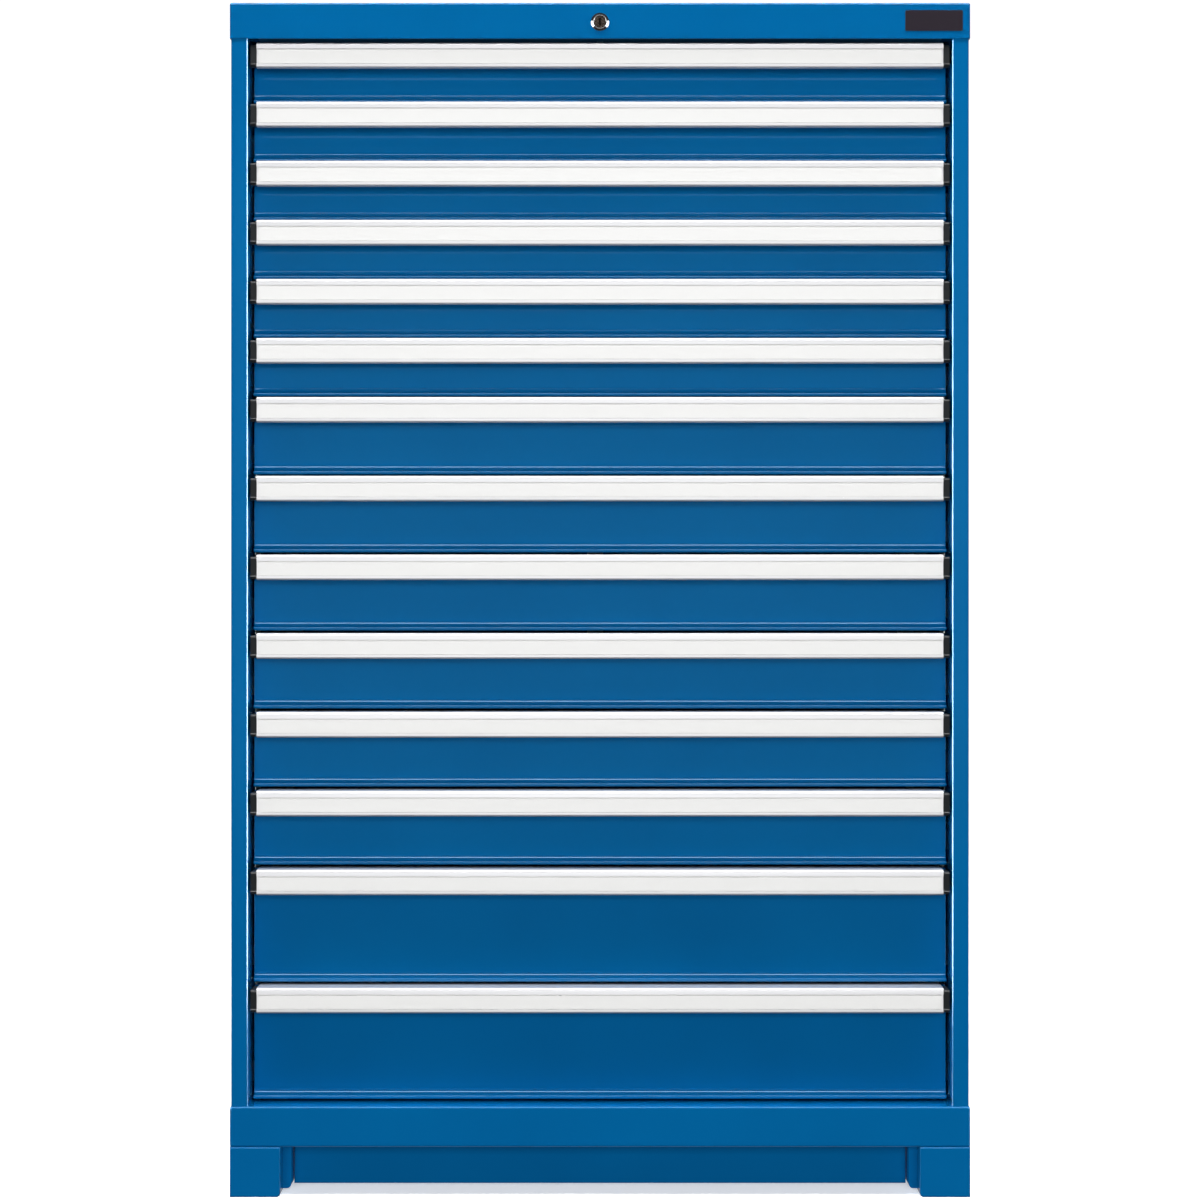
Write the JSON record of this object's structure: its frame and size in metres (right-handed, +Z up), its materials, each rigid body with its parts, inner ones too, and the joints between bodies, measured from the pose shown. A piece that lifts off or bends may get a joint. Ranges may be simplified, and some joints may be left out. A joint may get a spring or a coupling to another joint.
{
  "type": "modular drawer cabinet",
  "caption": "Tall folded-steel housing on corner feet, filled with full-width drawers of three heights on roller slides, with aluminium grips and one key lock.",
  "frame": {"origin": "on the floor, at the middle of the housing's width and depth", "axes": "+Z up, +X to the right seen from the front, +Y towards the back; the drawers open towards -Y"},
  "size_m": [0.914, 0.6126, 1.474],
  "materials": {
    "blue_enamel": "satin powder coat",
    "anodised_aluminium": "satin anodised",
    "zinc_steel": "zinc plated",
    "chrome": "polished",
    "black_plate": "satin",
    "black_plastic": "moulded"
  },
  "bodies": {
    "housing": {"right_side_panel": "blue_enamel", "left_side_panel": "blue_enamel", "back_panel": "blue_enamel", "top_cover": "blue_enamel", "bottom_deck": "blue_enamel", "base_channels": "blue_enamel", "corner_feet": "blue_enamel", "front_kick_panel": "blue_enamel", "rear_kick_panel": "blue_enamel", "blank_plate": "black_plate", "back_panel_screws": "zinc_steel", "slotted_uprights": "zinc_steel", "fixed_runners": "zinc_steel", "lock_housing": "chrome", "lock_guides": "black_plastic"},
    "drawer_01": {"drawer_01_box": "blue_enamel", "drawer_01_handle": "anodised_aluminium"},
    "carriage_01": {"drawer_01_carriage": "zinc_steel"},
    "drawer_02": {"drawer_02_box": "blue_enamel", "drawer_02_handle": "anodised_aluminium"},
    "carriage_02": {"drawer_02_carriage": "zinc_steel"},
    "drawer_03": {"drawer_03_box": "blue_enamel", "drawer_03_handle": "anodised_aluminium"},
    "carriage_03": {"drawer_03_carriage": "zinc_steel"},
    "drawer_04": {"drawer_04_box": "blue_enamel", "drawer_04_handle": "anodised_aluminium"},
    "carriage_04": {"drawer_04_carriage": "zinc_steel"},
    "drawer_05": {"drawer_05_box": "blue_enamel", "drawer_05_handle": "anodised_aluminium"},
    "carriage_05": {"drawer_05_carriage": "zinc_steel"},
    "drawer_06": {"drawer_06_box": "blue_enamel", "drawer_06_handle": "anodised_aluminium"},
    "carriage_06": {"drawer_06_carriage": "zinc_steel"},
    "drawer_07": {"drawer_07_box": "blue_enamel", "drawer_07_handle": "anodised_aluminium"},
    "carriage_07": {"drawer_07_carriage": "zinc_steel"},
    "drawer_08": {"drawer_08_box": "blue_enamel", "drawer_08_handle": "anodised_aluminium"},
    "carriage_08": {"drawer_08_carriage": "zinc_steel"},
    "drawer_09": {"drawer_09_box": "blue_enamel", "drawer_09_handle": "anodised_aluminium"},
    "carriage_09": {"drawer_09_carriage": "zinc_steel"},
    "drawer_10": {"drawer_10_box": "blue_enamel", "drawer_10_handle": "anodised_aluminium"},
    "carriage_10": {"drawer_10_carriage": "zinc_steel"},
    "drawer_11": {"drawer_11_box": "blue_enamel", "drawer_11_handle": "anodised_aluminium"},
    "carriage_11": {"drawer_11_carriage": "zinc_steel"},
    "drawer_12": {"drawer_12_box": "blue_enamel", "drawer_12_handle": "anodised_aluminium"},
    "carriage_12": {"drawer_12_carriage": "zinc_steel"},
    "drawer_13": {"drawer_13_box": "blue_enamel", "drawer_13_handle": "anodised_aluminium"},
    "carriage_13": {"drawer_13_carriage": "zinc_steel"},
    "drawer_14": {"drawer_14_box": "blue_enamel", "drawer_14_handle": "anodised_aluminium"},
    "carriage_14": {"drawer_14_carriage": "zinc_steel"},
    "lock_plug": {"lock_plug": "chrome", "lock_rod": "zinc_steel"},
    "lock_bar": {"lock_bar": "zinc_steel"}
  },
  "joints": [
    {"name": "drawer_01_slide", "type": "slide", "parent": "housing", "child": "drawer_01", "axis": [0, -1, 0], "range_m": [0, 0.505]},
    {"name": "carriage_01_slide", "type": "slide", "parent": "housing", "child": "carriage_01", "axis": [0, -1, 0], "range_m": [0, 0.2525]},
    {"name": "drawer_02_slide", "type": "slide", "parent": "housing", "child": "drawer_02", "axis": [0, -1, 0], "range_m": [0, 0.505]},
    {"name": "carriage_02_slide", "type": "slide", "parent": "housing", "child": "carriage_02", "axis": [0, -1, 0], "range_m": [0, 0.2525]},
    {"name": "drawer_03_slide", "type": "slide", "parent": "housing", "child": "drawer_03", "axis": [0, -1, 0], "range_m": [0, 0.505]},
    {"name": "carriage_03_slide", "type": "slide", "parent": "housing", "child": "carriage_03", "axis": [0, -1, 0], "range_m": [0, 0.2525]},
    {"name": "drawer_04_slide", "type": "slide", "parent": "housing", "child": "drawer_04", "axis": [0, -1, 0], "range_m": [0, 0.505]},
    {"name": "carriage_04_slide", "type": "slide", "parent": "housing", "child": "carriage_04", "axis": [0, -1, 0], "range_m": [0, 0.2525]},
    {"name": "drawer_05_slide", "type": "slide", "parent": "housing", "child": "drawer_05", "axis": [0, -1, 0], "range_m": [0, 0.505]},
    {"name": "carriage_05_slide", "type": "slide", "parent": "housing", "child": "carriage_05", "axis": [0, -1, 0], "range_m": [0, 0.2525]},
    {"name": "drawer_06_slide", "type": "slide", "parent": "housing", "child": "drawer_06", "axis": [0, -1, 0], "range_m": [0, 0.505]},
    {"name": "carriage_06_slide", "type": "slide", "parent": "housing", "child": "carriage_06", "axis": [0, -1, 0], "range_m": [0, 0.2525]},
    {"name": "drawer_07_slide", "type": "slide", "parent": "housing", "child": "drawer_07", "axis": [0, -1, 0], "range_m": [0, 0.505]},
    {"name": "carriage_07_slide", "type": "slide", "parent": "housing", "child": "carriage_07", "axis": [0, -1, 0], "range_m": [0, 0.2525]},
    {"name": "drawer_08_slide", "type": "slide", "parent": "housing", "child": "drawer_08", "axis": [0, -1, 0], "range_m": [0, 0.505]},
    {"name": "carriage_08_slide", "type": "slide", "parent": "housing", "child": "carriage_08", "axis": [0, -1, 0], "range_m": [0, 0.2525]},
    {"name": "drawer_09_slide", "type": "slide", "parent": "housing", "child": "drawer_09", "axis": [0, -1, 0], "range_m": [0, 0.505]},
    {"name": "carriage_09_slide", "type": "slide", "parent": "housing", "child": "carriage_09", "axis": [0, -1, 0], "range_m": [0, 0.2525]},
    {"name": "drawer_10_slide", "type": "slide", "parent": "housing", "child": "drawer_10", "axis": [0, -1, 0], "range_m": [0, 0.505]},
    {"name": "carriage_10_slide", "type": "slide", "parent": "housing", "child": "carriage_10", "axis": [0, -1, 0], "range_m": [0, 0.2525]},
    {"name": "drawer_11_slide", "type": "slide", "parent": "housing", "child": "drawer_11", "axis": [0, -1, 0], "range_m": [0, 0.505]},
    {"name": "carriage_11_slide", "type": "slide", "parent": "housing", "child": "carriage_11", "axis": [0, -1, 0], "range_m": [0, 0.2525]},
    {"name": "drawer_12_slide", "type": "slide", "parent": "housing", "child": "drawer_12", "axis": [0, -1, 0], "range_m": [0, 0.505]},
    {"name": "carriage_12_slide", "type": "slide", "parent": "housing", "child": "carriage_12", "axis": [0, -1, 0], "range_m": [0, 0.2525]},
    {"name": "drawer_13_slide", "type": "slide", "parent": "housing", "child": "drawer_13", "axis": [0, -1, 0], "range_m": [0, 0.505]},
    {"name": "carriage_13_slide", "type": "slide", "parent": "housing", "child": "carriage_13", "axis": [0, -1, 0], "range_m": [0, 0.2525]},
    {"name": "drawer_14_slide", "type": "slide", "parent": "housing", "child": "drawer_14", "axis": [0, -1, 0], "range_m": [0, 0.505]},
    {"name": "carriage_14_slide", "type": "slide", "parent": "housing", "child": "carriage_14", "axis": [0, -1, 0], "range_m": [0, 0.2525]},
    {"name": "lock_turn", "type": "hinge", "parent": "housing", "child": "lock_plug", "pos_m": [0, -0.305, 1.45002], "axis": [0, 1, 0], "range_deg": [0, 90.01]},
    {"name": "lock_bar_lift", "type": "slide", "parent": "housing", "child": "lock_bar", "axis": [0, 0, 1], "range_m": [0, 0.012]}
  ],
  "couplings": [
    {"joint": "carriage_01_slide", "follows": "drawer_01_slide", "ratio": 0.5},
    {"joint": "carriage_02_slide", "follows": "drawer_02_slide", "ratio": 0.5},
    {"joint": "carriage_03_slide", "follows": "drawer_03_slide", "ratio": 0.5},
    {"joint": "carriage_04_slide", "follows": "drawer_04_slide", "ratio": 0.5},
    {"joint": "carriage_05_slide", "follows": "drawer_05_slide", "ratio": 0.5},
    {"joint": "carriage_06_slide", "follows": "drawer_06_slide", "ratio": 0.5},
    {"joint": "carriage_07_slide", "follows": "drawer_07_slide", "ratio": 0.5},
    {"joint": "carriage_08_slide", "follows": "drawer_08_slide", "ratio": 0.5},
    {"joint": "carriage_09_slide", "follows": "drawer_09_slide", "ratio": 0.5},
    {"joint": "carriage_10_slide", "follows": "drawer_10_slide", "ratio": 0.5},
    {"joint": "carriage_11_slide", "follows": "drawer_11_slide", "ratio": 0.5},
    {"joint": "carriage_12_slide", "follows": "drawer_12_slide", "ratio": 0.5},
    {"joint": "carriage_13_slide", "follows": "drawer_13_slide", "ratio": 0.5},
    {"joint": "carriage_14_slide", "follows": "drawer_14_slide", "ratio": 0.5},
    {"joint": "lock_turn", "follows": "lock_bar_lift", "rad_per_m": 130.9}
  ]
}
